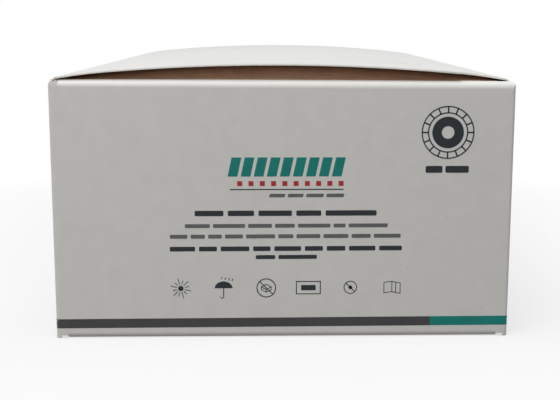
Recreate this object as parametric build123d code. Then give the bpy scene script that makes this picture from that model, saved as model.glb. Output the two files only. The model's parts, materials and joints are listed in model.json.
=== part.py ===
from build123d import *
import math
import os

# A printed folding carton for a boxed kit, empty, with its lid closed and bowed up.
# Sizes are in millimetres. The origin is the middle of the footprint, on the floor, and +Z is up.
# The printed end panel faces -Y. The lid hinges along the -X wall, and its tuck flap goes down
# inside the +X wall. Walls, dust flaps and the glued bottom are one sheet, and so is the lid.

# Outside of the folded carton
width = 125.0
length = 210.0
wall_height = 68.9
board = 0.5

# Outside radii of the folds
corner_radius = 1.0
flap_fold_radius = 2.0
lid_fold_radius = 2.75
tuck_fold_radius = 2.0
base_fold_radius = 1.6

# Lid: a bowed panel, steeper near the two side walls, with a narrower end that carries the tuck flap
lid_side_gap = 0.2
lid_knee = 15.0
lid_knee_slope = 5.0
lid_end_slope = 10.0
tuck_gap = 0.4
tuck_step = 2.0
tuck_length = 18.0
tuck_lean = 5.0
tuck_corner_radius = 12.0

# Dust flaps: folded in from the two end walls, then sprung up against the bowed lid
flap_length = 50.0
flap_spring_run = 8.0
flap_spring_cuts = 4
flap_lid_gap = 0.3
flap_arc_cuts = 4
flap_relief = 2.4
flap_tuck_clearance = 2.0
flap_lock_length = 14.0
flap_hinge_taper = 12.0
flap_tuck_taper = 15.0
flap_corner_radius = 8.0
fold_end_radius = 1.3
post_height = 0.8
rim_height = 0.8

# Side seam: a lap of the -X wall, glued inside the +Y wall
lap_root = 2.5
lap_width = 15.0
lap_end_gap = 2.0
lap_taper = 20.0

# Bottom: two end flaps outside, each glued by a corner tab to one of two interlocking side flaps
end_flap_length = 52.0
end_flap_taper = 30.0
end_flap_corner_radius = 4.0
tab_setback = 6.0
tab_length = 8.0
glue_film = 0.1
glue_margin = 4.0
flap_play = 0.1
score_width = 0.6
score_depth = 0.12
centre_gap = 0.8
tongue_reach = 26.0
tongue_ramp = 7.5
tongue_end_gap = 24.0
tongue_taper = 9.0
tongue_corner_radius = 10.0
foot_width = 1.3
foot_clearance = 0.1
notch_width = 1.9
notch_height = 0.8

# Heights and lines that follow from them
half_width = width / 2
half_length = length / 2
tuck_x = half_width - board - tuck_gap - tuck_fold_radius
flap_top = wall_height + flap_fold_radius
side_flap_base = board + glue_film
tongue_base = side_flap_base + board + flap_play
base_top = side_flap_base + base_fold_radius + board
foot_span = foot_width + notch_width
lid_half_length = half_length - board - lid_side_gap
tuck_half_length = lid_half_length - tuck_step
tall = 3 * (wall_height + lid_fold_radius)


def left_of(heading):
    """Unit vector to the left of a heading, in degrees from a section's first axis."""
    return Vector(-math.sin(math.radians(heading)), math.cos(math.radians(heading)))


def bent_line(stations):
    """Lines and tangent arcs through stations of (place, place, heading)."""
    edges = []
    for (u0, v0, heading0), (u1, v1, heading1) in zip(stations, stations[1:]):
        if heading0 == heading1:
            edges.append(Line((u0, v0), (u1, v1)))
        else:
            along = left_of(heading0 - 90)
            edges.append(TangentArc((u0, v0), (u1, v1), tangent=along))
    return edges


def set_in(stations, depth):
    """Stations of the same bent line at a depth to its right."""
    moved = []
    for u, v, heading in stations:
        inward = left_of(heading) * -depth
        moved.append((u + inward.X, v + inward.Y, heading))
    return moved


def board_section(stations):
    """Section of the board along a bent line on its outside, which lies to the line's left."""
    inner = set_in(stations, board)
    ends = [Line(stations[i][:2], inner[i][:2]) for i in (0, -1)]
    return make_face(bent_line(stations) + bent_line(inner) + ends)


def fold_end(centre_u, centre_v, radius, heading):
    """Station on the outside of a fold about a centre, where the board has turned to a heading."""
    out = left_of(heading) * radius
    return (centre_u + out.X, centre_v + out.Y, heading)


def prism(points, base, height):
    """Upright prism on a plan outline."""
    return extrude(Pos(0, 0, base) * make_face(Polyline(*points, close=True)), amount=height)


def front_prism(points):
    """Prism along Y, right through the carton, on an outline of (x, z) points."""
    return extrude(Plane.XZ * make_face(Polyline(*points, close=True)), amount=length, both=True)


def rounded(points, radii):
    """Closed outline with its own radius at each corner."""
    outline = make_face(Polyline(*points, close=True))
    for (x, y), radius in zip(points, radii):
        if radius > 0:
            corner = outline.vertices().sort_by_distance((x, y))[0]
            outline = fillet(corner, radius)
    return outline


def upright_sheet(height):
    """The four walls, and the root of the seam's lap, from the seam round, standing on the plane z = 0."""
    r = corner_radius
    around = [
        (0, half_length, 0),
        (half_width - r, half_length, 0),
        (half_width, half_length - r, -90),
        (half_width, r - half_length, -90),
        (half_width - r, -half_length, -180),
        (r - half_width, -half_length, -180),
        (-half_width, r - half_length, -270),
        (-half_width, half_length - board - r, -270),
        (r - half_width, half_length - board, -360),
        (lap_root - half_width, half_length - board, -360),
    ]
    seam_half = Rectangle(half_width - r, board, align=(Align.MAX, Align.MAX))
    return extrude(board_section(around), amount=height) + extrude(
        Pos(0, half_length) * seam_half, amount=height
    )


def walls():
    """Walls with a small foot at each upright fold and a gap below each wall for its bottom fold."""
    sheet = Pos(0, 0, foot_clearance) * upright_sheet(wall_height - foot_clearance)
    for inset, height in ((foot_span, base_top), (foot_width, notch_height)):
        across = Box(width - 2 * inset, 2 * length, 2 * height)
        along = Box(2 * width, length - 2 * inset, 2 * height)
        sheet -= across
        sheet -= along
    return sheet


def seam_lap():
    """Glued lap of the -X wall inside the +Y wall, tapered at both ends."""
    start = corner_radius - half_width
    low = base_top + lap_end_gap
    high = wall_height - lap_end_gap
    drop = (lap_width - corner_radius) * math.tan(math.radians(lap_taper))
    end = lap_width - half_width
    outline = [(start, low), (end, low + drop), (end, high - drop), (start, high)]
    depth = Pos(0, half_length - board - board / 2) * Box(width, board, tall)
    return front_prism(outline) & depth


def side_rim():
    """Cut edge of the +X wall, which stands a little above the line of the folds."""
    rim = Box(board, length - 2 * corner_radius, rim_height, align=(Align.MAX, Align.CENTER, Align.MIN))
    return Pos(half_width, 0, wall_height) * rim


def corner_post():
    """Unfolded corner of the -Y wall beside the lid's fold, cut back to a slant above."""
    end = flap_relief - half_width
    outline = [
        (-half_width, wall_height),
        (end, wall_height),
        (end, flap_top),
        (-half_width, wall_height + post_height),
    ]
    skin = Pos(end, -half_length, wall_height) * Box(
        width, board + lid_side_gap / 2, tall, align=(Align.MAX, Align.MIN, Align.MIN)
    )
    return Pos(0, 0, wall_height) * upright_sheet(flap_fold_radius) & skin & front_prism(outline)


def lid_line():
    """Stations on the outside of the lid's bowed panel, from its hinge fold to its tuck fold."""
    flank_rate = math.tan(math.radians((lid_knee_slope + lid_end_slope) / 2))
    fold = fold_end(lid_fold_radius - half_width, wall_height, lid_fold_radius, lid_end_slope)
    knee_x = half_width - lid_knee
    knee_z = fold[1] + (-knee_x - fold[0]) * flank_rate
    over_x = fold_end(tuck_x, 0, tuck_fold_radius, -lid_end_slope)[0]
    over_z = knee_z - (over_x - knee_x) * flank_rate
    near_knee = (-knee_x, knee_z, lid_knee_slope)
    far_knee = (knee_x, knee_z, -lid_knee_slope)
    return [fold, near_knee, far_knee, (over_x, over_z, -lid_end_slope)]


def line_under_lid():
    """Points (x, z) of the line that a dust flap's outside takes under the lid, past the flap at both ends."""
    line = set_in(lid_line(), board + flap_lid_gap)
    points = [edge @ (i / flap_arc_cuts) for edge in bent_line(line) for i in range(flap_arc_cuts)]
    points.append(Vector(*line[-1][:2]))
    before = points[0] - left_of(line[0][2] - 90) * flap_relief
    beyond = points[-1] + left_of(line[-1][2] - 90) * flap_relief
    return [(point.X, point.Y) for point in (before, *points, beyond)]


def flap_strip(line, part):
    """Upright section across a dust flap, a part of the way from its fold to where it is under the lid."""
    share = part * part * (3 - 2 * part)
    steepness = 6 * part * (1 - part) / flap_spring_run
    outside = []
    inside = []
    for x, z in line:
        rise = z - flap_top
        outside.append((x, flap_top + rise * share))
        inside.append((x, flap_top + rise * share - board * math.hypot(1, rise * steepness)))
    ends = [Line(outside[i], inside[i]) for i in (0, -1)]
    strip = make_face([Spline(*outside), Spline(*inside)] + ends)
    return Plane.XZ.offset(half_length - flap_fold_radius - part * flap_spring_run) * strip


def dust_flap():
    """Fold and flap of the -Y wall, with its relief, lock shoulder, tapers and rounded tip."""
    start = flap_relief - half_width
    lift = fold_end(flap_fold_radius - half_length, wall_height, flap_fold_radius, 0)
    fold_stations = [(-half_length, wall_height, 90), lift]
    fold = extrude(Plane.YZ.offset(start) * board_section(fold_stations), amount=half_width - start)
    front = rounded(
        [(start, wall_height), (half_width, wall_height), (half_width, flap_top), (start, flap_top)],
        [0, 0, fold_end_radius, 0],
    )
    fold &= extrude(Plane.XZ * front, amount=length, both=True)
    fold &= extrude(RectangleRounded(width, length, corner_radius), amount=tall)
    line = line_under_lid()
    blade = loft([flap_strip(line, cut / flap_spring_cuts) for cut in range(flap_spring_cuts + 1)])
    blade += extrude(flap_strip(line, 1), amount=flap_length - flap_fold_radius - flap_spring_run, dir=(0, 1, 0))
    root = -half_length
    tip_y = root + flap_length
    shoulder = tuck_x - flap_tuck_clearance
    lock_y = root + flap_fold_radius + flap_lock_length
    tuck_side = shoulder - (tip_y - lock_y) * math.tan(math.radians(flap_tuck_taper))
    hinge_side = start + (tip_y - root) * math.tan(math.radians(flap_hinge_taper))
    plan = rounded(
        [(start, root), (shoulder, root), (shoulder, lock_y), (tuck_side, tip_y), (hinge_side, tip_y)],
        [0, 0, 0, flap_corner_radius, flap_corner_radius],
    )
    return fold + (blade & extrude(plan, amount=tall))


def end_flap():
    """Outer bottom flap of the -Y wall, its corner tab on the -X side glued to that side's flap."""
    span = half_width - foot_span
    root = base_fold_radius - half_length
    tip = end_flap_length - half_length
    run = tip - root
    free = span - run * math.tan(math.radians(end_flap_taper))
    section = board_section(
        [(tip, 0, 180), (root, 0, 180), (-half_length, base_fold_radius, 90), (-half_length, base_top, 90)]
    )
    sheet = extrude(Plane.YZ.offset(-span) * section, amount=2 * span)
    plan = rounded(
        [
            (-span, -length),
            (span, -length),
            (span, root),
            (free, tip),
            (tab_setback + tab_length - span, tip),
            (tab_setback - span, tip - tab_length),
            (-span, root),
        ],
        [0, 0, 0, end_flap_corner_radius, end_flap_corner_radius, end_flap_corner_radius, 0],
    )
    flap = sheet & extrude(plan, amount=tall)
    score = Box(score_width, 2 * run, 2 * score_depth)
    corner = (-span, root)
    return flap - (Pos(*corner) * Rot(0, 0, -45) * score), corner, tip


def glue_pad(corner, tip):
    """Film of glue between an end flap's corner tab and the side flap above it."""
    x, y = corner
    low = (x + glue_margin, y + 3 * glue_margin)
    high = (x + glue_margin + tab_setback, tip - tab_length - glue_margin)
    inner = (x + tip - y - 4 * glue_margin, tip - glue_margin)
    return prism([low, inner, (high[0] + tab_length, tip - glue_margin), high], board, glue_film)


def side_flap():
    """Inner bottom flap of the -X wall. Its tongue rides up over the opposite flap."""
    span = half_length - foot_span
    root = base_fold_radius - half_width
    z = side_flap_base
    edge = -centre_gap / 2
    section = board_section(
        [(edge, z, 180), (root, z, 180), (-half_width, z + base_fold_radius, 90), (-half_width, base_top, 90)]
    )
    sheet = extrude(Plane.XZ * section, amount=span, both=True)
    start = edge - tongue_ramp
    tongue_low = tongue_end_gap - half_length
    slot = prism(
        [(start, tongue_low), (0, tongue_low), (0, edge), (start, edge)], 0, tall
    )
    ramp = [
        (start, z),
        (edge, tongue_base),
        (tongue_reach, tongue_base),
        (tongue_reach, tongue_base + board),
        (edge, tongue_base + board),
        (start, z + board),
    ]
    lean = (tongue_reach - start) * math.tan(math.radians(tongue_taper))
    plan = rounded(
        [(start, tongue_low), (tongue_reach, tongue_low + lean), (tongue_reach, edge - lean), (start, edge)],
        [0, tongue_corner_radius, tongue_corner_radius, 0],
    )
    return sheet - slot + (front_prism(ramp) & extrude(plan, amount=tall))


def both_ends(piece):
    """A piece and its copy at the far end, seen in a mirror."""
    return piece + mirror(piece, about=Plane.XZ)


def half_turned(piece):
    """A piece and its copy turned half round, as the two halves of the bottom are."""
    return piece + Rot(0, 0, 180) * piece


def carton_body():
    flap, corner, tip = end_flap()
    bottom = half_turned(flap + glue_pad(corner, tip) + side_flap())
    top = both_ends(corner_post() + dust_flap())
    return walls() + seam_lap() + side_rim() + top + bottom


def lid():
    """Hinge fold, bowed panel, tuck fold and tuck flap of the lid, bent from one flat sheet."""
    hinge = (-half_width, wall_height, 90)
    line = lid_line()
    tuck_z = line[-1][1] - fold_end(0, 0, tuck_fold_radius, -lid_end_slope)[1]
    down = -90 - tuck_lean
    tuck_start = fold_end(tuck_x, tuck_z, tuck_fold_radius, down)
    along = left_of(down - 90) * tuck_length
    tuck_end = (tuck_start[0] + along.X, tuck_start[1] + along.Y, down)
    panel = board_section([hinge] + line[:3])
    tuck = board_section(line[2:] + [tuck_start, tuck_end])
    low = tuck_end[1] - board
    outline = rounded(
        [(-tuck_half_length, low), (tuck_half_length, low), (tuck_half_length, tall), (-tuck_half_length, tall)],
        [tuck_corner_radius, tuck_corner_radius, 0, 0],
    )
    tuck_sheet = extrude(Plane.XZ * tuck, amount=tuck_half_length, both=True)
    tuck_sheet &= extrude(Plane.YZ * outline, amount=width, both=True)
    return extrude(Plane.XZ * panel, amount=lid_half_length, both=True) + tuck_sheet


os.makedirs("parts", exist_ok=True)
for name, piece in (("carton_body", carton_body()), ("lid", lid())):
    export_step(piece, f"parts/{name}.step")
    box = piece.bounding_box()
    print(name, "solids", len(piece.solids()), "volume", round(piece.volume), "from", box.min, "to", box.max)
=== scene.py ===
"""A printed folding carton: coated board, bare kraft inside, a printed end wall and a lid."""
import json
import math
import random

import bmesh
import bpy
from bpy.props import FloatProperty, FloatVectorProperty, IntProperty, PointerProperty
from mathutils import Matrix, Vector


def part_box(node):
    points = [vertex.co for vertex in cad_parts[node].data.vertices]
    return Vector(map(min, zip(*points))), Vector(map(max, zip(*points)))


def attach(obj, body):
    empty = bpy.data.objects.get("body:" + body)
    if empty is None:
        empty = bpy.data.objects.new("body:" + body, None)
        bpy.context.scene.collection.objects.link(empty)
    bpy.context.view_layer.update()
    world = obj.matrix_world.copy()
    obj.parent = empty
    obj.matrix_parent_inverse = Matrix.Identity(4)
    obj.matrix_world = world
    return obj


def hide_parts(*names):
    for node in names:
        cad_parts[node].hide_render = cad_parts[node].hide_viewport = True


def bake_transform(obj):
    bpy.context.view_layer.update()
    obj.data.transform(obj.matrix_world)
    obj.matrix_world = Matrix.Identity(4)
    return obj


bl_info = {
    "name": "Folding Carton",
    "version": (1, 0, 0),
    "blender": (4, 5, 0),
    "location": "View3D > Sidebar > Carton",
    "description": "Board, print, lid and studio for a printed folding carton",
    "category": "Object",
}

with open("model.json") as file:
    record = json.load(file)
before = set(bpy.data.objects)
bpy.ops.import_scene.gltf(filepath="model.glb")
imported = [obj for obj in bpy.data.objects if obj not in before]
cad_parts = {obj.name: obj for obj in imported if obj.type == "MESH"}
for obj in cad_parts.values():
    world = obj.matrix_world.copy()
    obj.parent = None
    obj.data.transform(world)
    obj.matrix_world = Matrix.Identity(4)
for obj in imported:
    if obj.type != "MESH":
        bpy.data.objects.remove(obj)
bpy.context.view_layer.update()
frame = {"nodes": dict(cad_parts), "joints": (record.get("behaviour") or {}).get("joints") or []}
BODY_LOW, BODY_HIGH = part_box("carton_body")
HINGE = Vector(frame["joints"][0]["pos_m"])

MM = 0.001
FRONT = BODY_LOW.y
BACK = -FRONT
RIGHT = BODY_HIGH.x
WHITE = (1.0, 1.0, 1.0, 1.0)

# The sheet and its folds, as the board is creased
BOARD = 0.5 * MM
CORNER_RADIUS = 1.0 * MM
CORNER_STEPS = 6
LID_FOLD_RADIUS = 2.75 * MM
LID_FOLD_CUTS = 16
LID_END_SLOPE = math.radians(10.0)

# Lid: sharpest turn within a skin, how level a skin's first face is, and how far the cut edge is crushed
SHARP_ANGLE = math.radians(30.0)
LEVEL = 0.9
CRUSH = 0.2 * MM
CRUSH_STEPS = 2

# Material numbers of the lid
OUTER_SKIN, INNER_SKIN, RIM = range(3)

# How near two points count as one, and how far off a fold a point still belongs to it
WELD = 0.001 * MM
FINE_WELD = 0.0001 * MM
FOLD_MARGIN = 0.01 * MM

# Rounded box whose surface the folded sheet follows: flat walls and flaps outside it, folds at its corners
CORE_LOW = Vector((-60.9, -103.0, 2.2)) * MM
CORE_HIGH = Vector((60.9, 103.0, 69.8)) * MM

# How squarely a surface faces away from that box, or towards it, to be a side of the sheet and not a cut
SIDE_LIMIT = 0.4

# Dust flaps: where their folds begin and how high they lie. Between the folds their tops take the kraft
# colour as painted shade, the brown of the dark gap under the lid's edge. Then the heights over which the
# coating at their folds is painted lighter: a painted highlight where the rounded fold faces the light,
# partly also whitening where the fold stretches the coating
FLAP_FOLD_Y = 102.4 * MM
FLAP_Z = 69.6 * MM
FOLD_HIGHLIGHT_FADE = (69.0 * MM, 70.3 * MM)

# Gloss of the board and of the ink on it
BOARD_GLOSS = 0.5
INK_GLOSS = 0.3

# Span that nearly all values of a noise texture fall in
NOISE_SPAN = (0.3, 0.7)

# Waviness of a panel, fine grain of the coating, patches of more and less gloss, and small and large clouds
WAVE_SCALE = 17
WAVE_HEIGHT = 0.16 * MM
GRAIN_SCALE = 2600
GRAIN_HEIGHT = 0.0035 * MM
GLOSS_SCALE = 420
SMALL_CLOUD_SCALE = 210
LARGE_CLOUD_SCALE = 28

# Stray specks of the coating: how dense, how few of them show, how wide they are and how dark
SPECK_SCALE = 380
SPECK_RARITY = 0.94
SPECK_EDGE = (0.04, 0.11)
SPECK_DEPTH = 0.30

# Kraft side: stretch, roughness and height of fibres, clumps, and flecks by their values and their tones
FIBRE_SCALE = (130, 1500, 1500)
FIBRE_ROUGHNESS = 0.6
FIBRE_HEIGHT = 0.02 * MM
CLUMP_SCALE = 330
FLECK_SCALE = (700, 2600, 2600)
DARK_FLECKS = (0.68, 0.74)
DARK_TONE = 0.28
PALE_FLECKS = (0.30, 0.24)
PALE_TONE = 0.22

# Cut edge: scale of its plies, and the scale, span and height of its torn fibres
PLY_SCALE = 600
TORN_SCALE = 5200
TORN_SPAN = (0.35, 0.65)
TORN_HEIGHT = 0.03 * MM

# Ink: clouds, pinholes, the paper that shows in them, and cracks where the board is folded at upright corners
INK_CLOUD_SCALE = 260
PINHOLE_SCALE = 3000
PINHOLES = (0.70, 0.78)
PINHOLE_DEPTH = 0.45
PINHOLE_PAPER = (0.55, 0.55, 0.54, 1.0)
CRACK_SCALE = (4000, 4000, 900)
CRACKS = (0.56, 0.62)
CRACK_DEPTH = 0.65
CRACK_REACH = CORNER_RADIUS * 0.7

# Photograph's frame and the camera fitted to the carton's edges in it
FRAME_WIDTH = 560
PRINCIPAL_X = 320
FOCAL_PIXELS = 1035.1
SENSOR_MM = 36.0
NEAR_CLIP = 0.01
CAMERA_PLACE = Vector((-2.22, -382.01, 86.71)) * MM
CAMERA_YAW = math.radians(2.481)
CAMERA_PITCH = math.radians(9.835)
CAMERA_ROLL = math.radians(0.42)

# Lights: side of the square, place and tint; all are aimed at one point
KEY_LIGHT = (0.6, (-0.14, -0.30, 0.72), (0.965, 0.98, 1.0))
FRONT_LIGHT = (0.28, (-0.32, -0.58, 0.15), (1.0, 0.94, 0.84))
BACK_LIGHT = (0.6, (0.70, 0.85, 0.42), (1.0, 1.0, 1.0))
LIGHT_AIM = Vector((0, 0, 0.04))

# Floor: half its width, its cuts, and the distance from the carton at which it is seen as plain white
FLOOR_REACH = 4.0
FLOOR_CUTS = 8
WHITE_FLOOR_REACH = 0.11


class CartonBoard(bpy.types.PropertyGroup):
    """Colours of the board."""

    coating: FloatVectorProperty(
        name="Coating", description="White coated side of the board", subtype="COLOR",
        size=3, min=0, max=1, default=(0.795, 0.785, 0.76),
    )
    # Kraft colour set lighter than the board's own: partly painted light, so that the shaded gap under the
    # lid's edge, where the dust flaps' tops also take this colour, reads lighter
    kraft: FloatVectorProperty(
        name="Kraft", description="Uncoated side of the board", subtype="COLOR",
        size=3, min=0, max=1, default=(0.60, 0.40, 0.28),
    )
    # Cream of the cut plies, set lighter than the coating: partly a painted highlight along the cut edges,
    # most of all the lid's front edge
    cut_edge_and_highlight: FloatVectorProperty(
        name="Cut edge", description="Plies showing along the cuts", subtype="COLOR",
        size=3, min=0, max=1, default=(0.92, 0.89, 0.82),
    )
    # Painted highlight: a lighter coating colour on the rounded folds atop the end walls, where they face the
    # light; partly also the coating whitened where the fold stretches it
    fold_highlight: FloatVectorProperty(
        name="Crease", description="Coating whitened where the flaps' folds stretch it", subtype="COLOR",
        size=3, min=0, max=1, default=(0.95, 0.94, 0.91),
    )


class CartonPrint(bpy.types.PropertyGroup):
    """Inks and the stripe round the foot of the walls."""

    dark_ink: FloatVectorProperty(
        name="Dark ink", description="Words and symbols", subtype="COLOR",
        size=3, min=0, max=1, default=(0.013, 0.018, 0.022),
    )
    grey_ink: FloatVectorProperty(
        name="Grey ink", description="Longer part of the stripe", subtype="COLOR",
        size=3, min=0, max=1, default=(0.058, 0.056, 0.059),
    )
    teal_ink: FloatVectorProperty(
        name="Teal ink", description="Shorter part of the stripe and the block of bars", subtype="COLOR",
        size=3, min=0, max=1, default=(0.004, 0.225, 0.20),
    )
    red_ink: FloatVectorProperty(
        name="Red ink", description="Row of small squares", subtype="COLOR",
        size=3, min=0, max=1, default=(0.44, 0.035, 0.035),
    )
    ink_rise: FloatProperty(
        name="Ink rise", description="How far print stands off the wall", unit="LENGTH", default=0.03 * MM,
    )
    ink_root: FloatProperty(
        name="Ink root", description="How far print reaches into the wall", unit="LENGTH", default=0.02 * MM,
    )
    stripe_low: FloatProperty(
        name="Stripe low edge", description="Height at the middle of the end wall", unit="LENGTH",
        default=3.05 * MM,
    )
    stripe_height: FloatProperty(
        name="Stripe height", description="Height of the stripe", unit="LENGTH", default=2.6 * MM,
    )
    stripe_tilt: FloatProperty(
        name="Stripe tilt", description="How far the print is turned on the sheet", subtype="ANGLE",
        default=math.radians(0.2),
    )
    stripe_break: FloatProperty(
        name="Colour break", description="Where the stripe turns from grey to teal", unit="LENGTH",
        default=40.7 * MM,
    )
    word_seed: IntProperty(name="Word seed", description="Draw of the words' lengths", default=7)


class CartonStage(bpy.types.PropertyGroup):
    """Studio round the carton."""

    key_power: FloatProperty(
        name="Key light", description="Power of the light above", unit="POWER", default=3.1,
    )
    front_power: FloatProperty(
        name="Front light", description="Power of the low light in front", unit="POWER", default=0.42,
    )
    back_power: FloatProperty(
        name="Back light", description="Power of the light behind at the right", unit="POWER", default=1.3,
    )
    ambient: FloatProperty(
        name="Ambient", description="Strength of the light from all round", default=0.40,
    )
    floor: FloatVectorProperty(
        name="Floor", description="Colour of the floor", subtype="COLOR",
        size=3, min=0, max=1, default=(0.96, 0.96, 0.96),
    )
    floor_bounce: FloatProperty(
        name="Floor bounce", description="How much light the floor throws back at the carton", default=0.16,
    )
    floor_white: FloatProperty(
        name="Floor white", description="Share of plain white in the floor beside the carton", default=0.64,
    )


def add_node(tree, kind, inputs=None, **settings):
    """A node with its settings made and each input linked from a socket or set to a value."""
    made = tree.nodes.new(kind)
    for name, value in settings.items():
        setattr(made, name, value)
    for name, value in (inputs or {}).items():
        if isinstance(value, bpy.types.NodeSocket):
            tree.links.new(value, made.inputs[name])
        else:
            made.inputs[name].default_value = value
    return made


def vector_math(tree, operation, first, second=None):
    """Output of a vector math node; a dot product or a length comes as a value."""
    inputs = {0: first} if second is None else {0: first, 1: second}
    made = add_node(tree, "ShaderNodeVectorMath", inputs, operation=operation)
    return made.outputs["Value" if operation in ("DOT_PRODUCT", "LENGTH") else "Vector"]


def value_math(tree, operation, first, second=None):
    """Output of a math node."""
    inputs = {0: first} if second is None else {0: first, 1: second}
    return add_node(tree, "ShaderNodeMath", inputs, operation=operation).outputs["Value"]


def mix_value(tree, factor, first, second):
    """Output of a mix of values, whose sockets go by number."""
    return add_node(tree, "ShaderNodeMix", {0: factor, 2: first, 3: second}).outputs[0]


def mix_colour(tree, factor, first, second):
    """Output of a mix of colours, whose sockets go by number."""
    return add_node(tree, "ShaderNodeMix", {0: factor, 6: first, 7: second}, data_type="RGBA").outputs[2]


def by_axis(tree, place):
    """The values of a place along X, Y and Z."""
    return add_node(tree, "ShaderNodeSeparateXYZ", {"Vector": place}).outputs


def remap(tree, value, low, high, new_low, new_high):
    """A value carried from one range to another and held within it."""
    inputs = {"Value": value, "From Min": low, "From Max": high, "To Min": new_low, "To Max": new_high}
    return add_node(tree, "ShaderNodeMapRange", inputs).outputs["Result"]


def noise(tree, place, scale, detail, roughness=0.5):
    """Value of a noise texture about a middle of 0.5; a scale of three numbers stretches the pattern."""
    if isinstance(scale, tuple):
        place = vector_math(tree, "MULTIPLY", place, scale)
        scale = 1.0
    inputs = {"Vector": place, "Scale": scale, "Detail": detail, "Roughness": roughness}
    return add_node(tree, "ShaderNodeTexNoise", inputs).outputs["Fac"]


def spread(tree, value, low, high):
    """A noise's value spread over a range."""
    return remap(tree, value, *NOISE_SPAN, low, high)


def new_group(name, inputs, outputs):
    """An empty shader group with sockets of the given kinds, its input node and its output node."""
    kinds = {"vector": "NodeSocketVector", "colour": "NodeSocketColor", "value": "NodeSocketFloat"}
    group = bpy.data.node_groups.new(name, "ShaderNodeTree")
    for direction, sockets in (("INPUT", inputs), ("OUTPUT", outputs)):
        for socket_name, kind in sockets.items():
            group.interface.new_socket(socket_name, in_out=direction, socket_type=kinds[kind])
    return group, group.nodes.new("NodeGroupInput"), group.nodes.new("NodeGroupOutput")


def use_group(tree, group, inputs):
    """A group placed in a material, as its outputs."""
    return add_node(tree, "ShaderNodeGroup", inputs, node_tree=group).outputs


def tinted(tree, colour, tone):
    """A colour made lighter or darker by a value near 1."""
    tones = add_node(tree, "ShaderNodeCombineXYZ", {"X": tone, "Y": tone, "Z": tone})
    return vector_math(tree, "MULTIPLY", colour, tones.outputs["Vector"])


def panel_wave(tree, place):
    """Height of the slight waviness of a panel."""
    return value_math(tree, "MULTIPLY", noise(tree, place, WAVE_SCALE, 1), WAVE_HEIGHT)


def coat_grain(tree, place):
    """Height of the coating's fine grain, which shows through ink too."""
    return value_math(tree, "MULTIPLY", noise(tree, place, GRAIN_SCALE, 2), GRAIN_HEIGHT)


def specks(tree, place):
    """How much stray specks darken the coating: a few cells of a Voronoi texture, each fading out."""
    cells = add_node(tree, "ShaderNodeTexVoronoi", {"Vector": place, "Scale": SPECK_SCALE}).outputs
    chance = add_node(tree, "ShaderNodeSeparateColor", {"Color": cells["Color"]}).outputs["Red"]
    rare = value_math(tree, "GREATER_THAN", chance, SPECK_RARITY)
    return value_math(tree, "MULTIPLY", rare, remap(tree, cells["Distance"], *SPECK_EDGE, SPECK_DEPTH, 0.0))


def coated_finish(tree, place, colour):
    """Clay coat: faint cloudiness, stray grey specks, a fine grain and a slight waviness of the panel."""
    small = spread(tree, noise(tree, place, SMALL_CLOUD_SCALE, 3), 0.975, 1.02)
    large = spread(tree, noise(tree, place, LARGE_CLOUD_SCALE, 2), 0.985, 1.01)
    tone = value_math(tree, "MULTIPLY", small, large)
    tone = value_math(tree, "SUBTRACT", tone, specks(tree, place))
    rough = spread(tree, noise(tree, place, GLOSS_SCALE, 3), 0.40, 0.52)
    height = value_math(tree, "ADD", panel_wave(tree, place), coat_grain(tree, place))
    return tinted(tree, colour, tone), rough, height


def kraft_finish(tree, place, colour):
    """Bare side: long fibres along the sheet's width, clumps, and dark and pale flecks."""
    fibre = noise(tree, place, FIBRE_SCALE, 4, FIBRE_ROUGHNESS)
    clump = noise(tree, place, CLUMP_SCALE, 3)
    fleck = noise(tree, place, FLECK_SCALE, 1)
    tone = value_math(tree, "MULTIPLY", spread(tree, fibre, 0.84, 1.12), spread(tree, clump, 0.93, 1.06))
    tone = value_math(tree, "SUBTRACT", tone, remap(tree, fleck, *DARK_FLECKS, 0.0, DARK_TONE))
    tone = value_math(tree, "ADD", tone, remap(tree, fleck, *PALE_FLECKS, 0.0, PALE_TONE))
    rough = spread(tree, fibre, 0.92, 0.78)
    height = value_math(tree, "MULTIPLY", fibre, FIBRE_HEIGHT)
    return tinted(tree, colour, tone), rough, value_math(tree, "ADD", height, panel_wave(tree, place))


def edge_finish(tree, place, colour):
    """Cut edge: torn plies, rough and a little uneven in colour."""
    ply = noise(tree, place, PLY_SCALE, 3)
    torn = noise(tree, place, TORN_SCALE, 2)
    ragged = remap(tree, torn, *TORN_SPAN, 0.93, 1.05)
    tone = value_math(tree, "MULTIPLY", spread(tree, ply, 0.88, 1.06), ragged)
    rough = spread(tree, torn, 0.85, 0.95)
    return tinted(tree, colour, tone), rough, value_math(tree, "MULTIPLY", torn, TORN_HEIGHT)


def ink_finish(tree, place, colour):
    """Printed ink: pinholes, a slight unevenness and the grain of the coat below."""
    holes = remap(tree, noise(tree, place, PINHOLE_SCALE, 2), *PINHOLES, 0.0, PINHOLE_DEPTH)
    tone = spread(tree, noise(tree, place, INK_CLOUD_SCALE, 3), 0.93, 1.07)
    inked = mix_colour(tree, holes, tinted(tree, colour, tone), PINHOLE_PAPER)
    rough = spread(tree, noise(tree, place, GLOSS_SCALE, 3), 0.34, 0.46)
    return inked, rough, coat_grain(tree, place)


FINISHES = {
    "Coated side": coated_finish,
    "Kraft side": kraft_finish,
    "Cut edge": edge_finish,
    "Ink": ink_finish,
}


def finish_group(name):
    """A finish as a group, from a place and a colour to a colour, a roughness and a height, built once."""
    if name in bpy.data.node_groups:
        return bpy.data.node_groups[name]
    group, given, result = new_group(
        name, {"Place": "vector", "Colour": "colour"},
        {"Colour": "colour", "Roughness": "value", "Height": "value"},
    )
    made = FINISHES[name](group, given.outputs["Place"], given.outputs["Colour"])
    for socket, value in zip(("Colour", "Roughness", "Height"), made):
        group.links.new(value, result.inputs[socket])
    return group


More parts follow.
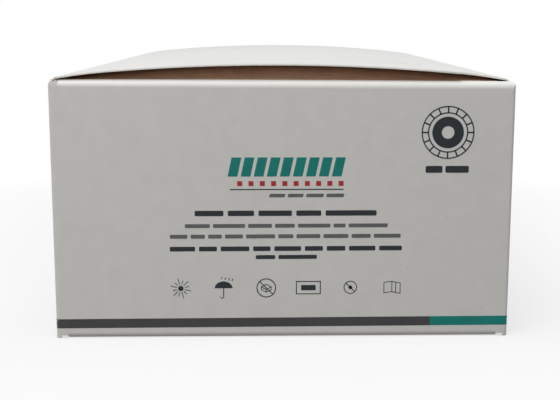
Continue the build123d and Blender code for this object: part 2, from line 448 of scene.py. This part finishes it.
def side_group():
    """Which side of the folded sheet a point is on, from its place and facing, as two masks; the second also
    takes in the dust flaps' tops, which get the kraft colour as painted shade.
    """
    name = "Side of the sheet"
    if name in bpy.data.node_groups:
        return bpy.data.node_groups[name]
    group, given, result = new_group(
        name, {"Place": "vector", "Facing": "vector"}, {"Outside": "value", "Inside": "value"},
    )
    place = given.outputs["Place"]
    from_middle = vector_math(group, "SUBTRACT", place, (CORE_LOW + CORE_HIGH) / 2)
    distance = vector_math(group, "ABSOLUTE", from_middle)
    beyond = vector_math(group, "SUBTRACT", distance, (CORE_HIGH - CORE_LOW) / 2)
    beyond = vector_math(group, "MAXIMUM", beyond, (0, 0, 0))
    away = vector_math(group, "MULTIPLY", beyond, vector_math(group, "SIGN", from_middle))
    away = vector_math(group, "NORMALIZE", away)
    facing = vector_math(group, "DOT_PRODUCT", away, given.outputs["Facing"])
    outside = value_math(group, "GREATER_THAN", facing, SIDE_LIMIT)
    inside = value_math(group, "LESS_THAN", facing, -SIDE_LIMIT)
    parts = by_axis(group, place)
    # Painted shade: the dust flaps' tops between their folds take the kraft colour, the brown of the shaded
    # gap under the lid's edge
    on_flap = value_math(group, "GREATER_THAN", parts["Z"], FLAP_Z)
    between_flap_folds = value_math(group, "LESS_THAN", value_math(group, "ABSOLUTE", parts["Y"]), FLAP_FOLD_Y)
    flap_tops = value_math(group, "MULTIPLY", on_flap, between_flap_folds)
    painted_shade_tops = value_math(group, "MULTIPLY", outside, flap_tops)
    coated = value_math(group, "MULTIPLY", outside, value_math(group, "SUBTRACT", 1.0, flap_tops))
    group.links.new(coated, result.inputs["Outside"])
    group.links.new(value_math(group, "MAXIMUM", inside, painted_shade_tops), result.inputs["Inside"])
    return group


def rgba(colour):
    """A colour as a shader's socket takes it."""
    return (*colour, 1.0)


def new_material(name):
    """An empty node material and its tree."""
    material = bpy.data.materials.new(name)
    material.use_nodes = True
    material.node_tree.nodes.clear()
    return material, material.node_tree


def use_finish(tree, name, place, colour):
    """A finish placed in a material, as its outputs."""
    return use_group(tree, finish_group(name), {"Place": place, "Colour": rgba(colour)})


def surface(tree, colour, roughness, height, gloss=BOARD_GLOSS):
    """Principled surface with a bump."""
    bump = add_node(tree, "ShaderNodeBump", {"Height": height, "Strength": 1.0, "Distance": 1.0})
    shader = add_node(tree, "ShaderNodeBsdfPrincipled", {
        "Base Color": colour,
        "Roughness": roughness,
        "Specular IOR Level": gloss,
        "Normal": bump.outputs["Normal"],
    })
    add_node(tree, "ShaderNodeOutputMaterial", {"Surface": shader.outputs["BSDF"]})


def object_place(tree):
    """Place of a point of a piece that keeps its shape."""
    return add_node(tree, "ShaderNodeTexCoord").outputs["Object"]


def rest_place(tree):
    """Place of a point of the lid as it was made, kept in an attribute."""
    return add_node(tree, "ShaderNodeAttribute", attribute_name="rest_place").outputs["Vector"]


def finish_material(name, finish, place_of, colour, gloss=BOARD_GLOSS):
    """A material of one finish, read at the place that place_of gives."""
    material, tree = new_material(name)
    made = use_finish(tree, finish, place_of(tree), colour)
    surface(tree, made["Colour"], made["Roughness"], made["Height"], gloss)
    return material


def ink_material(name, colour):
    """A material of plain ink."""
    return finish_material(name, "Ink", object_place, colour, INK_GLOSS)


def stripe_material(name, ink, paper):
    """Ink that has cracked a little where the board is folded at the upright corners."""
    material, tree = new_material(name)
    place = object_place(tree)
    made = use_finish(tree, "Ink", place, ink)
    parts = by_axis(tree, vector_math(tree, "ABSOLUTE", place))
    near_x = value_math(tree, "GREATER_THAN", parts["X"], RIGHT - CRACK_REACH)
    near_y = value_math(tree, "GREATER_THAN", parts["Y"], BACK - CRACK_REACH)
    cracks = remap(tree, noise(tree, place, CRACK_SCALE, 3), *CRACKS, 0.0, CRACK_DEPTH)
    worn = value_math(tree, "MULTIPLY", value_math(tree, "MULTIPLY", near_x, near_y), cracks)
    colour = mix_colour(tree, worn, made["Colour"], rgba(paper))
    surface(tree, colour, made["Roughness"], made["Height"], INK_GLOSS)
    return material


def body_material(board):
    """The folded sheet: coated outside, kraft inside and cream at its cuts."""
    material, tree = new_material("body_board")
    coordinates = add_node(tree, "ShaderNodeTexCoord").outputs
    place = coordinates["Object"]
    side = use_group(tree, side_group(), {"Place": place, "Facing": coordinates["Normal"]})
    # The cut edge's colour is partly a painted highlight
    edge = use_finish(tree, "Cut edge", place, board.cut_edge_and_highlight)
    coat = use_finish(tree, "Coated side", place, board.coating)
    kraft = use_finish(tree, "Kraft side", place, board.kraft)
    parts = by_axis(tree, vector_math(tree, "ABSOLUTE", place))
    # Painted highlight on the rounded folds atop the end walls, partly also coating whitened where the fold
    # stretches it
    at_fold = value_math(tree, "GREATER_THAN", parts["Y"], FLAP_FOLD_Y)
    fold_highlight_share = value_math(tree, "MULTIPLY", remap(tree, parts["Z"], *FOLD_HIGHLIGHT_FADE, 0.0, 1.0), at_fold)
    coated = mix_colour(tree, fold_highlight_share, coat["Colour"], rgba(board.fold_highlight))
    colour = mix_colour(tree, side["Outside"], edge["Colour"], coated)
    colour = mix_colour(tree, side["Inside"], colour, kraft["Colour"])
    mixed = []
    for socket in ("Roughness", "Height"):
        outer = mix_value(tree, side["Outside"], edge[socket], coat[socket])
        mixed.append(mix_value(tree, side["Inside"], outer, kraft[socket]))
    surface(tree, colour, *mixed)
    return material


def new_piece(bm, name, materials):
    """An object made from a finished bmesh."""
    mesh = bpy.data.meshes.new(name)
    bm.to_mesh(mesh)
    bm.free()
    for material in materials:
        mesh.materials.append(material)
    piece = bpy.data.objects.new(name, mesh)
    bpy.context.scene.collection.objects.link(piece)
    return piece


def wall_piece(bm, name, materials):
    """A piece that rides on the folded sheet."""
    piece = new_piece(bm, name, materials)
    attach(piece, "carton_body")


class CARTON_OT_dress_body(bpy.types.Operator):
    """Gives the folded sheet its coated, kraft and cut-edge finishes"""

    bl_idname = "carton.dress_body"
    bl_label = "Dress the body"

    def execute(self, context):
        material = body_material(context.scene.carton_board)
        for slot in frame["nodes"]["carton_body"].material_slots:
            slot.material = material
        return {"FINISHED"}


def cut_fold(bm, pivot):
    """Cuts the lid's sheet across its fold."""
    turn = (math.pi / 2 - LID_END_SLOPE) / LID_FOLD_CUTS
    for step in range(LID_FOLD_CUTS + 1):
        across = Vector((math.sin(step * turn), 0, math.cos(step * turn)))
        geometry = bm.verts[:] + bm.edges[:] + bm.faces[:]
        bmesh.ops.bisect_plane(bm, geom=geometry, dist=FINE_WELD, plane_co=pivot, plane_no=across)


def round_fold(bm, pivot):
    """Brings each point of the fold on to the sheet's outer or inner arc."""
    inner = LID_FOLD_RADIUS - BOARD
    fold_end = FOLD_MARGIN - math.sin(LID_END_SLOPE) * inner
    for vert in bm.verts:
        arm = Vector((vert.co.x - pivot.x, 0, vert.co.z - pivot.z))
        if arm.z < -FOLD_MARGIN or arm.x > fold_end:
            continue
        arc = LID_FOLD_RADIUS if arm.length > LID_FOLD_RADIUS - BOARD / 2 else inner
        arm = arm.normalized() * arc
        vert.co.x, vert.co.z = pivot.x + arm.x, pivot.z + arm.z


def mark_skins(bm):
    """Parts a bent sheet at its sharp edges into outer skin, inner skin and rim, by their materials."""
    for face in bm.faces:
        face.smooth = True
        face.material_index = RIM
    for edge in bm.edges:
        edge.smooth = edge.is_manifold and edge.calc_face_angle() < SHARP_ANGLE
    highest = sorted(bm.faces, key=lambda f: f.calc_center_median().z, reverse=True)
    upper = next(f for f in highest if f.normal.z > LEVEL)
    lower = next(f for f in highest if f.normal.z < -LEVEL)
    for skin, seed in ((OUTER_SKIN, upper), (INNER_SKIN, lower)):
        seed.material_index = skin
        waiting = [seed]
        while waiting:
            smooth_edges = [edge for edge in waiting.pop().edges if edge.smooth]
            for other in [face for edge in smooth_edges for face in edge.link_faces]:
                if other.material_index == RIM:
                    other.material_index = skin
                    waiting.append(other)


def crush_rim(bm):
    """Rounds the cut edge off towards the coated side, as the die's knife leaves it."""
    rim = [e for e in bm.edges if {f.material_index for f in e.link_faces} == {OUTER_SKIN, RIM}]
    if not rim:
        raise RuntimeError("the lid's cut edge wasn't found")
    made = bmesh.ops.bevel(bm, geom=rim, offset=CRUSH, offset_type="OFFSET", affect="EDGES",
                           segments=CRUSH_STEPS, profile=0.5, material=OUTER_SKIN)
    for part in made["faces"] + made["edges"]:
        part.smooth = True


class CARTON_OT_make_lid(bpy.types.Operator):
    """Makes the lid from its solid, cut finely across its fold and rounded there"""

    bl_idname = "carton.make_lid"
    bl_label = "Make the lid"

    def execute(self, context):
        board = context.scene.carton_board
        bm = bmesh.new()
        bm.from_mesh(frame["nodes"]["lid"].data)
        bmesh.ops.remove_doubles(bm, verts=bm.verts, dist=WELD)
        pivot = Vector((HINGE.x + LID_FOLD_RADIUS, 0, HINGE.z))
        cut_fold(bm, pivot)
        round_fold(bm, pivot)
        mark_skins(bm)
        crush_rim(bm)
        lid = new_piece(bm, "lid_sheet", [
            finish_material("lid_coated", "Coated side", rest_place, board.coating),
            finish_material("lid_kraft", "Kraft side", rest_place, board.kraft),
            # The lid's cut edge colour is partly a painted highlight along its front edge
            finish_material("lid_cut_edge", "Cut edge", rest_place, board.cut_edge_and_highlight),
        ])
        places = lid.data.attributes.new("rest_place", "FLOAT_VECTOR", "POINT")
        for vert, place in zip(lid.data.vertices, places.data):
            place.vector = vert.co
        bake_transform(lid)
        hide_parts("lid")
        return {"FINISHED"}


def stripe_band(height):
    """Upright band round the walls, standing on the ground, from one side of the seam to the other."""
    r = CORNER_RADIUS
    bm = bmesh.new()
    here = Vector((r - RIGHT, BACK, 0))
    edges = [bm.edges.new([bm.verts.new((here.x, here.y, z)) for z in (0.0, height)])]
    # The end of each straight run and the middle of the corner after it: back, right, front and left wall
    runs = (
        ((RIGHT - r, BACK), (RIGHT - r, BACK - r)),
        ((RIGHT, FRONT + r), (RIGHT - r, FRONT + r)),
        ((r - RIGHT, FRONT), (r - RIGHT, FRONT + r)),
        ((-RIGHT, BACK - BOARD - r), (r - RIGHT, BACK - BOARD - r)),
    )
    for end, centre in runs:
        moved = bmesh.ops.extrude_edge_only(bm, edges=edges)["geom"]
        verts = [v for v in moved if isinstance(v, bmesh.types.BMVert)]
        edges = [e for e in moved if isinstance(e, bmesh.types.BMEdge)]
        bmesh.ops.translate(bm, vec=Vector((*end, 0)) - here, verts=verts)
        turned = bmesh.ops.spin(bm, geom=edges, cent=(*centre, 0), axis=(0, 0, -1), angle=math.pi / 2,
                                steps=CORNER_STEPS, use_merge=False, use_duplicate=False)["geom_last"]
        edges = [e for e in turned if isinstance(e, bmesh.types.BMEdge)]
        here = edges[0].verts[0].co.copy()
        here.z = 0
    return bm


class CARTON_OT_print_stripe(bpy.types.Operator):
    """Prints the grey and teal stripe that goes round the foot of the walls from seam to seam"""

    bl_idname = "carton.print_stripe"
    bl_label = "Print the stripe"

    def execute(self, context):
        settings = context.scene.carton_print
        board = context.scene.carton_board
        bm = stripe_band(settings.stripe_height)
        bmesh.ops.bisect_plane(bm, geom=bm.verts[:] + bm.edges[:] + bm.faces[:], dist=WELD,
                               plane_co=(settings.stripe_break, 0, 0), plane_no=(1, 0, 0))
        for face in bm.faces:
            face.material_index = int(face.calc_center_median().x > settings.stripe_break)
        for vert in bm.verts:
            vert.co.z += settings.stripe_low + vert.co.x * math.tan(settings.stripe_tilt)
        bmesh.ops.recalc_face_normals(bm, faces=bm.faces)
        front = min(bm.faces, key=lambda f: f.calc_center_median().y)
        if front.normal.y > 0:
            bmesh.ops.reverse_faces(bm, faces=bm.faces)
        for vert in bm.verts:
            vert.co -= vert.normal * settings.ink_root
        bmesh.ops.solidify(bm, geom=bm.faces[:], thickness=-(settings.ink_rise + settings.ink_root))
        bmesh.ops.recalc_face_normals(bm, faces=bm.faces)
        wall_piece(bm, "foot_stripe", [
            stripe_material("grey_stripe", settings.grey_ink, board.coating),
            stripe_material("teal_stripe", settings.teal_ink, board.coating),
        ])
        return {"FINISHED"}


# Print is drawn flat, in millimetres, to the right and up from the foot of the end wall's middle, or about
# a middle of its own. These are the widths of its lines and the steps of its curves.
LINE = 0.26
THIN_LINE = 0.2
DROP_LINE = 0.24
PETAL_LINE = 0.42
BAR_CORNER_STEPS = 4
DISC_STEPS = 20
UMBRELLA_STEPS = 32
RING_STEPS = 48


def shift(x, y):
    """Move along the drawing plane."""
    return Matrix.Translation((x, y, 0))


def outward(angle):
    """Direction on the drawing plane at an angle from its right."""
    return Vector((math.cos(angle), math.sin(angle)))


def square(bm, place):
    """Square of side 1 at a place, as its four points."""
    return bmesh.ops.create_grid(bm, x_segments=1, y_segments=1, size=0.5, matrix=place)["verts"]


def bar(bm, left, low, right, high, rounding=0.0, slant=0.0):
    """Flat bar with rounded corners or slanted ends."""
    width, height = right - left, high - low
    verts = square(bm, shift((left + right) / 2, (low + high) / 2) @ Matrix.Diagonal((width, height, 1, 1)))
    for vert in verts:
        vert.co.x += slant * (vert.co.y - low - height / 2)
    if rounding:
        bmesh.ops.bevel(bm, geom=verts, offset=rounding, offset_type="OFFSET", affect="VERTICES",
                        segments=BAR_CORNER_STEPS, profile=0.5, material=-1)


def stroke(bm, start, end, width):
    """Straight line, square at its ends."""
    start, end = Vector(start), Vector(end)
    along = end - start
    turn = Matrix.Rotation(math.atan2(along.y, along.x), 4, "Z")
    square(bm, shift(*(start + end) / 2) @ turn @ Matrix.Diagonal((along.length, width, 1, 1)))


def path(bm, points, width):
    """Line through points."""
    for start, end in zip(points, points[1:]):
        stroke(bm, start, end, width)


def outline(bm, points, width):
    """Closed line through points, its corners overlapping by half the line's width."""
    for start, end in zip(points, points[1:] + points[:1]):
        start, end = Vector(start), Vector(end)
        reach = (end - start).normalized() * width / 2
        stroke(bm, start - reach, end + reach, width)


def disc(bm, radius, steps=DISC_STEPS):
    """Flat disc about the middle, as its points."""
    return bmesh.ops.create_circle(bm, cap_ends=True, segments=steps, radius=radius)["verts"]


def ring(bm, outer, inner, steps=RING_STEPS):
    """Flat ring about the middle."""
    made = bmesh.ops.create_circle(bm, cap_ends=False, segments=steps, radius=inner)
    edges = list(dict.fromkeys(edge for vert in made["verts"] for edge in vert.link_edges))
    moved = bmesh.ops.extrude_edge_only(bm, edges=edges)["geom"]
    rim = [v for v in moved if isinstance(v, bmesh.types.BMVert)]
    bmesh.ops.scale(bm, vec=(outer / inner, outer / inner, 1), verts=rim)


def print_piece(bm, name, material, settings, middle=(0.0, 0.0)):
    """Gives a flat drawing the thickness of ink and stands it on the end wall."""
    bm.transform(Matrix.Scale(MM, 4) @ shift(*middle))
    bmesh.ops.recalc_face_normals(bm, faces=bm.faces)
    for face in bm.faces:
        if face.normal.z < 0:
            face.normal_flip()
    made = bmesh.ops.extrude_face_region(bm, geom=bm.faces[:])
    top = [v for v in made["geom"] if isinstance(v, bmesh.types.BMVert)]
    bmesh.ops.translate(bm, vec=(0, 0, settings.ink_rise + settings.ink_root), verts=top)
    bmesh.ops.recalc_face_normals(bm, faces=bm.faces)
    wall = Matrix.Translation((0, FRONT + settings.ink_root, 0)) @ Matrix.Rotation(math.pi / 2, 4, "X")
    bm.transform(wall @ Matrix.Rotation(settings.stripe_tilt, 4, "Z"))
    wall_piece(bm, name, [material])


# Rows of words: left, right, low, high, the shortest and the longest word, and the slant of their ends
BOLD_ROWS = (
    (-24.1, 25.4, 33.8, 36.2, 6.5, 10.5, 0.0),
    (-31.0, 32.5, 24.1, 26.2, 4.5, 11.0, 0.0),
    (-7.6, 9.1, 21.9, 23.7, 4.5, 11.0, 0.0),
)
PLAIN_ROWS = (
    (-26.8, 28.5, 30.45, 32.6, 3.0, 9.0, 0.0),
    (-30.9, 32.1, 27.5, 29.7, 3.0, 9.0, 0.0),
    (-3.8, 16.45, 38.9, 40.85, 4.0, 7.5, 0.25),
)

# Share of a row's height that is inked, and the gap and rounding of words for half of that height
BOLD_SHARE = 0.62
PLAIN_SHARE = 0.50
WORD_GAP = 1.6
WORD_ROUNDING = 0.45

# Plain words are printed lighter: the share of the dark ink that is kept and the grey added to it
SOFT_KEPT = 0.6
SOFT_ADDED = 0.13


def word_row(bm, row, share, draw):
    """A row of plain bars, each about as long as a word."""
    left, right, low, high, shortest, longest, slant = row
    middle = (low + high) / 2
    half = (high - low) * share / 2
    gap = WORD_GAP * half
    start = left
    while start < right:
        end = start + draw.uniform(shortest, longest)
        if right - end < shortest + gap:
            end = right
        bar(bm, start, middle - half, end, middle + half, WORD_ROUNDING * half, slant)
        start = end + gap


class CARTON_OT_print_words(bpy.types.Operator):
    """Prints rows of plain bars, each about as long as a word"""

    bl_idname = "carton.print_words"
    bl_label = "Print the rows of words"

    def execute(self, context):
        settings = context.scene.carton_print
        draw = random.Random(settings.word_seed)
        soft = [SOFT_KEPT * c + SOFT_ADDED for c in settings.dark_ink]
        for name, ink, colour, rows, share in (
            ("bold_words", "dark_ink", settings.dark_ink, BOLD_ROWS, BOLD_SHARE),
            ("plain_words", "soft_ink", soft, PLAIN_ROWS, PLAIN_SHARE),
        ):
            bm = bmesh.new()
            for row in rows:
                word_row(bm, row, share, draw)
            print_piece(bm, name, ink_material(ink, colour), settings)
        return {"FINISHED"}


# Block in the middle of the end wall: its sides, slanted bars, small squares and rule
BLOCK_LEFT = -14.5
BLOCK_RIGHT = 16.3
BARS_LOW = 45.1
BARS_HIGH = 50.3
BAR_COUNT = 9
BAR_GAP = 0.9
BAR_SLANT = 0.22
SQUARES_LEFT = BLOCK_LEFT + 2.0
SQUARES_LOW = 42.5
SQUARE_COUNT = 10
SQUARE_SIZE = 1.35
RULE_LOW = 41.4
RULE_HIGH = 41.7


def draw_bars(bm):
    """Slanted bars across the block."""
    step = (BLOCK_RIGHT - BLOCK_LEFT + BAR_GAP) / BAR_COUNT
    for i in range(BAR_COUNT):
        start = BLOCK_LEFT + i * step
        bar(bm, start, BARS_LOW, start + step - BAR_GAP, BARS_HIGH, slant=BAR_SLANT)


def draw_squares(bm):
    """Row of small squares below the bars."""
    step = (BLOCK_RIGHT - SQUARE_SIZE - SQUARES_LEFT) / (SQUARE_COUNT - 1)
    for i in range(SQUARE_COUNT):
        start = SQUARES_LEFT + i * step
        bar(bm, start, SQUARES_LOW, start + SQUARE_SIZE, SQUARES_LOW + SQUARE_SIZE)


def draw_rule(bm):
    """Thin line below the squares."""
    bar(bm, BLOCK_LEFT, RULE_LOW, BLOCK_RIGHT, RULE_HIGH)


class CARTON_OT_print_block(bpy.types.Operator):
    """Prints a plain block in the middle: slanted teal bars, a row of small red squares and a rule"""

    bl_idname = "carton.print_block"
    bl_label = "Print the block"

    def execute(self, context):
        settings = context.scene.carton_print
        for name, draw, ink, colour in (
            ("teal_bars", draw_bars, "teal_ink", settings.teal_ink),
            ("red_squares", draw_squares, "red_ink", settings.red_ink),
            ("block_rule", draw_rule, "rule_ink", settings.dark_ink),
        ):
            bm = bmesh.new()
            draw(bm)
            print_piece(bm, name, ink_material(ink, colour), settings)
        return {"FINISHED"}


# Seal: its middle, its rings from outside to inside with their steps, its petals, and the bars below it
SEAL_MIDDLE = (44.5, 57.0)
OUTER_RING = (7.2, 6.85, 64)
MIDDLE_RING = (5.5, 5.15, 56)
INNER_RING = (4.3, 1.7, 48)
PETAL_COUNT = 16
PETAL_START = 5.3
PETAL_END = 6.9
SEAL_BARS = ((-5.9, -1.3), (-0.5, 5.9))
SEAL_BARS_LOW = -11.0
SEAL_BARS_HIGH = -9.1
SEAL_BARS_ROUNDING = 0.4


def draw_seal(bm):
    """Plain rosette with two bars below it."""
    ring(bm, *OUTER_RING)
    for i in range(PETAL_COUNT):
        petal = outward(math.tau * i / PETAL_COUNT)
        stroke(bm, petal * PETAL_START, petal * PETAL_END, PETAL_LINE)
    ring(bm, *MIDDLE_RING)
    ring(bm, *INNER_RING)
    for left, right in SEAL_BARS:
        bar(bm, left, SEAL_BARS_LOW, right, SEAL_BARS_HIGH, SEAL_BARS_ROUNDING)


class CARTON_OT_print_seal(bpy.types.Operator):
    """Prints a plain rosette with two bars below it near the upper right corner"""

    bl_idname = "carton.print_seal"
    bl_label = "Print the seal"

    def execute(self, context):
        settings = context.scene.carton_print
        bm = bmesh.new()
        draw_seal(bm)
        print_piece(bm, "seal", ink_material("seal_ink", settings.dark_ink), settings, SEAL_MIDDLE)
        return {"FINISHED"}


def draw_sun(bm):
    """Small disc with uneven rays."""
    disc(bm, radius=0.75)
    rays, start, short, long = 12, 1.1, 2.3, 2.9
    for i in range(rays):
        ray = outward(math.tau * (i + 0.5) / rays)
        stroke(bm, ray * start, ray * (long if i % 2 else short), THIN_LINE)


def draw_umbrella(bm):
    """Half disc with a stem, a hook and four drops."""
    squash, stem, hook, turns = 0.78, 2.4, 0.42, 8
    for vert in disc(bm, radius=2.45, steps=UMBRELLA_STEPS):
        vert.co.y = max(vert.co.y, 0) * squash
    stroke(bm, (0, 0), (0, -stem), LINE)
    middle = Vector((-hook, -stem))
    path(bm, [middle + outward(-math.pi * i / turns) * hook for i in range(turns + 1)], LINE)
    drop = Vector((0.3, 0.6))
    for foot in ((-0.6, 2.62), (0.4, 2.42), (1.4, 2.22), (2.3, 2.04)):
        stroke(bm, foot, Vector(foot) + drop, DROP_LINE)


def slash(bm, radius):
    """Line from the upper left to the lower right."""
    reach = Vector((-1, 1)).normalized() * radius
    stroke(bm, reach, -reach, LINE)


def draw_no_parcel(bm):
    """Ring with a slash over a small open parcel."""
    ring(bm, outer=2.7, inner=2.42)
    slash(bm, radius=2.5)
    half, middle, rise, deep = 1.35, 0.3, 0.75, 0.75
    left, right = Vector((-half, middle)), Vector((half, middle))
    back, front = Vector((0, middle + rise)), Vector((0, middle - rise))
    down = Vector((0, -deep))
    outline(bm, [left, back, right, front], THIN_LINE)
    for corner in (left, front, right):
        stroke(bm, corner, corner + down, THIN_LINE)
    path(bm, [left + down, front + down, right + down], THIN_LINE)


def draw_frame(bm):
    """Upright frame with a plain bar in it."""
    half, high = 3.3, 1.75
    outline(bm, [(-half, -high), (half, -high), (half, high), (-half, high)], LINE)
    half, high = 2.0, 0.75
    bar(bm, -half, -high, half, high, rounding=0.2)


def draw_no_entry(bm):
    """Small ring with a slash over a dot."""
    ring(bm, outer=1.86, inner=1.62)
    slash(bm, radius=1.7)
    disc(bm, radius=0.55)


def draw_leaflet(bm):
    """Open leaflet of three panels."""
    low, high, dip = -1.6, 1.35, 0.3
    folds = ((-2.3, 0), (-0.1, dip), (0.95, 0), (2.2, -dip / 2))
    for (x0, rise0), (x1, rise1) in zip(folds, folds[1:]):
        for edge in (low, high):
            stroke(bm, (x0, edge + rise0), (x1, edge + rise1), THIN_LINE)
    for x, rise in folds:
        stroke(bm, (x, low + rise), (x, high + rise), THIN_LINE)


# Care symbols along the foot of the end wall: the height of their middles, and each one's place along it
SYMBOL_Y = 14.1
SYMBOLS = (
    ("sun_symbol", draw_sun, -28.2),
    ("umbrella_symbol", draw_umbrella, -16.5),
    ("parcel_symbol", draw_no_parcel, -4.8),
    ("frame_symbol", draw_frame, 6.8),
    ("ring_symbol", draw_no_entry, 18.4),
    ("leaflet_symbol", draw_leaflet, 30.0),
)


class CARTON_OT_print_symbols(bpy.types.Operator):
    """Prints six common care symbols in a row"""

    bl_idname = "carton.print_symbols"
    bl_label = "Print the symbols"

    def execute(self, context):
        settings = context.scene.carton_print
        ink = ink_material("symbol_ink", settings.dark_ink)
        for name, draw, x in SYMBOLS:
            bm = bmesh.new()
            draw(bm)
            print_piece(bm, name, ink, settings, (x, SYMBOL_Y))
        return {"FINISHED"}


def seen(tree):
    """1 for what the camera or a reflection sees, and 0 for light on its way to the carton."""
    rays = add_node(tree, "ShaderNodeLightPath").outputs
    return value_math(tree, "MAXIMUM", rays["Is Camera Ray"], rays["Is Glossy Ray"])


def floor_material(settings):
    """Pale floor, white to the camera far out, that keeps the carton's soft shadow near it."""
    material, tree = new_material("floor")
    to_camera = seen(tree)
    pale = add_node(tree, "ShaderNodeBsdfDiffuse", {"Color": rgba(settings.floor)})
    dim = add_node(tree, "ShaderNodeBsdfDiffuse", {"Color": rgba([settings.floor_bounce] * 3)})
    white = add_node(tree, "ShaderNodeEmission", {"Color": WHITE, "Strength": 1.0})
    lit = add_node(tree, "ShaderNodeMixShader", {0: to_camera, 1: dim.outputs[0], 2: pale.outputs[0]})
    place = vector_math(tree, "ABSOLUTE", object_place(tree))
    beyond = vector_math(tree, "SUBTRACT", place, (RIGHT, BACK, 0))
    away = vector_math(tree, "LENGTH", vector_math(tree, "MAXIMUM", beyond, (0, 0, 0)))
    far = remap(tree, away, 0.0, WHITE_FLOOR_REACH, settings.floor_white, 1.0)
    far = value_math(tree, "MULTIPLY", far, to_camera)
    mixed = add_node(tree, "ShaderNodeMixShader", {0: far, 1: lit.outputs[0], 2: white.outputs[0]})
    add_node(tree, "ShaderNodeOutputMaterial", {"Surface": mixed.outputs[0]})
    return material


def studio_world(settings):
    """Even light from all round, seen as white by the camera and in reflections."""
    world = bpy.data.worlds.new("studio")
    world.use_nodes = True
    tree = world.node_tree
    tree.nodes.clear()
    strength = remap(tree, seen(tree), 0.0, 1.0, settings.ambient, 1.0)
    light = add_node(tree, "ShaderNodeBackground", {"Color": WHITE, "Strength": strength})
    add_node(tree, "ShaderNodeOutputWorld", {"Surface": light.outputs[0]})
    bpy.context.scene.world = world


def area_light(name, power, size, place, tint):
    """Square soft light aimed at the carton."""
    data = bpy.data.lights.new(name, "AREA")
    data.color = tint
    data.energy = power
    data.size = size
    light = bpy.data.objects.new(name, data)
    light.location = place
    light.rotation_euler = (LIGHT_AIM - Vector(place)).to_track_quat("-Z", "Y").to_euler()
    bpy.context.scene.collection.objects.link(light)


def photo_camera():
    """Camera at the photograph's viewing angle."""
    data = bpy.data.cameras.new("photo_camera")
    data.sensor_width = SENSOR_MM
    data.lens = SENSOR_MM * FOCAL_PIXELS / FRAME_WIDTH
    data.shift_x = (FRAME_WIDTH / 2 - PRINCIPAL_X) / FRAME_WIDTH
    data.clip_start = NEAR_CLIP
    forward = Vector((
        math.sin(CAMERA_YAW) * math.cos(CAMERA_PITCH),
        math.cos(CAMERA_YAW) * math.cos(CAMERA_PITCH),
        -math.sin(CAMERA_PITCH),
    ))
    level = Vector((math.cos(CAMERA_YAW), -math.sin(CAMERA_YAW), 0))
    upright = level.cross(forward)
    c, s = math.cos(CAMERA_ROLL), math.sin(CAMERA_ROLL)
    camera = bpy.data.objects.new("photo_camera", data)
    axes = (level * c + upright * s, upright * c - level * s, -forward)
    camera.matrix_world = Matrix.Translation(CAMERA_PLACE) @ Matrix(axes).transposed().to_4x4()
    bpy.context.scene.collection.objects.link(camera)
    bpy.context.scene.camera = camera


class CARTON_OT_make_stage(bpy.types.Operator):
    """Makes the floor, the lights and the camera"""

    bl_idname = "carton.make_stage"
    bl_label = "Make the stage"

    def execute(self, context):
        settings = context.scene.carton_stage
        bm = bmesh.new()
        bmesh.ops.create_grid(bm, x_segments=FLOOR_CUTS, y_segments=FLOOR_CUTS, size=FLOOR_REACH)
        floor = new_piece(bm, "floor", [floor_material(settings)])
        studio_world(settings)
        area_light("key", settings.key_power, *KEY_LIGHT)
        area_light("front", settings.front_power, *FRONT_LIGHT)
        area_light("back", settings.back_power, *BACK_LIGHT)
        photo_camera()
        context.scene.view_settings.view_transform = "Standard"
        return {"FINISHED"}


class CARTON_PT_tools(bpy.types.Panel):
    """Lists the carton's tools"""

    bl_idname = "CARTON_PT_tools"
    bl_label = "Folding Carton"
    bl_space_type = "VIEW_3D"
    bl_region_type = "UI"
    bl_category = "Carton"

    def draw(self, context):
        for name, group in SETTINGS.items():
            box = self.layout.box()
            for setting in group.__annotations__:
                box.prop(getattr(context.scene, name), setting)
        for operator in OPERATORS:
            self.layout.operator(operator.bl_idname)


OPERATORS = (
    CARTON_OT_dress_body,
    CARTON_OT_make_lid,
    CARTON_OT_print_stripe,
    CARTON_OT_print_words,
    CARTON_OT_print_block,
    CARTON_OT_print_seal,
    CARTON_OT_print_symbols,
    CARTON_OT_make_stage,
)
SETTINGS = {"carton_board": CartonBoard, "carton_print": CartonPrint, "carton_stage": CartonStage}
CLASSES = (*SETTINGS.values(), *OPERATORS, CARTON_PT_tools)


def register():
    """Adds the settings, the tools and their panel to Blender."""
    for made in CLASSES:
        bpy.utils.register_class(made)
    for name, group in SETTINGS.items():
        setattr(bpy.types.Scene, name, PointerProperty(type=group))


def unregister():
    """Takes the settings, the tools and their panel away again."""
    for name in SETTINGS:
        delattr(bpy.types.Scene, name)
    for made in reversed(CLASSES):
        bpy.utils.unregister_class(made)


def main():
    """Makes the whole scene."""
    register()
    bpy.ops.carton.dress_body()
    bpy.ops.carton.make_lid()
    bpy.ops.carton.print_stripe()
    bpy.ops.carton.print_words()
    bpy.ops.carton.print_block()
    bpy.ops.carton.print_seal()
    bpy.ops.carton.print_symbols()
    bpy.ops.carton.make_stage()


if __name__ == "__main__":
    main()
